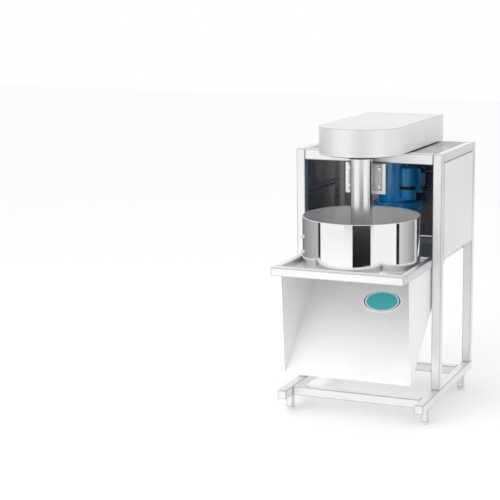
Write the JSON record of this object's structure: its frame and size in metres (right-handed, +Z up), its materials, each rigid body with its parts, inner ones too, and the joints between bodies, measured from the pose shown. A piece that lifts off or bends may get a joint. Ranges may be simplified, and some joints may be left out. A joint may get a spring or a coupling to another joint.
{
  "type": "cabbage shredding machine",
  "caption": "Upright stainless shredder: open drum with a central belt-driven spindle and rotary knife disc, top guard, vertical motor, sloping open-front chute, tube frame on short legs.",
  "frame": {"origin": "centre of the machine's footprint on the floor", "axes": "+Z up, +Y to the back, +X to the right as seen from the chute side"},
  "size_m": [0.83, 1.136, 1.575],
  "materials": {
    "steel": "satin",
    "polish": "mirror-polished stainless sheet",
    "cast": "dark machined and blackened steel",
    "blue": "glossy blue enamel",
    "rubber": "matt belt rubber",
    "cable": "grey cable sheath",
    "dark_plastic": "black moulded plastic",
    "white_plastic": "white moulded plastic",
    "badge_teal": "glossy teal print, blank",
    "badge_white": "glossy white border"
  },
  "bodies": {
    "frame": {"base_side_rails": "steel", "base_crossbars": "steel", "legs": "steel", "rail_caps": "steel", "front_posts": "steel", "rear_posts": "steel", "top_front_beam": "steel", "top_rear_beam": "steel", "top_side_beams": "steel", "tray_front_rail": "steel", "tray_side_rails": "steel", "tray_rear_rail": "steel", "side_panel_left": "steel", "side_panel_right": "steel", "back_panel": "steel", "panel_stiffeners": "steel", "chute_side_left": "steel", "chute_side_right": "steel", "chute_floor": "steel", "baffle_bolts": "steel", "column_plate": "steel", "mount_plate": "steel", "bracket_bolts": "steel", "flange_bolts": "steel", "guard_cover": "steel", "guard_screws": "steel", "motor_mount_plate": "steel", "motor_bolts": "steel", "deck_plate": "polish", "top_plate": "polish", "drum_shell": "polish", "drum_baffle": "polish", "column_tube": "polish", "spindle_bearings": "polish", "column_flange": "cast", "drive_base_plate": "cast", "bearing_housings": "cast", "capacitor_strap": "cast", "motor_flange": "blue", "motor_body": "blue", "motor_cowl": "blue", "capacitor": "blue", "terminal_box": "blue", "terminal_lid": "blue", "v_belts": "rubber", "motor_cables": "cable", "glides": "white_plastic", "cable_glands": "dark_plastic", "cable_grommets": "dark_plastic", "badge_plate": "badge_teal", "badge_rim": "badge_white"},
    "spindle": {"spindle_shaft": "polish", "driven_pulley": "cast", "cutter_disc": "polish", "cutter_blades": "steel", "blade_bolts": "steel", "spindle_nuts": "steel"},
    "motor_rotor": {"rotor_shaft": "polish", "motor_pulley": "cast", "motor_fan": "dark_plastic"}
  },
  "joints": [
    {"name": "spindle_spin", "type": "hinge", "parent": "frame", "child": "spindle", "pos_m": [0, -0.186, 0.9], "axis": [0, 0, 1], "continuous": true},
    {"name": "motor_spin", "type": "hinge", "parent": "frame", "child": "motor_rotor", "pos_m": [0, 0.41, 1.2], "axis": [0, 0, 1], "continuous": true}
  ],
  "couplings": [
    {"joint": "motor_spin", "follows": "spindle_spin", "ratio": 4}
  ]
}
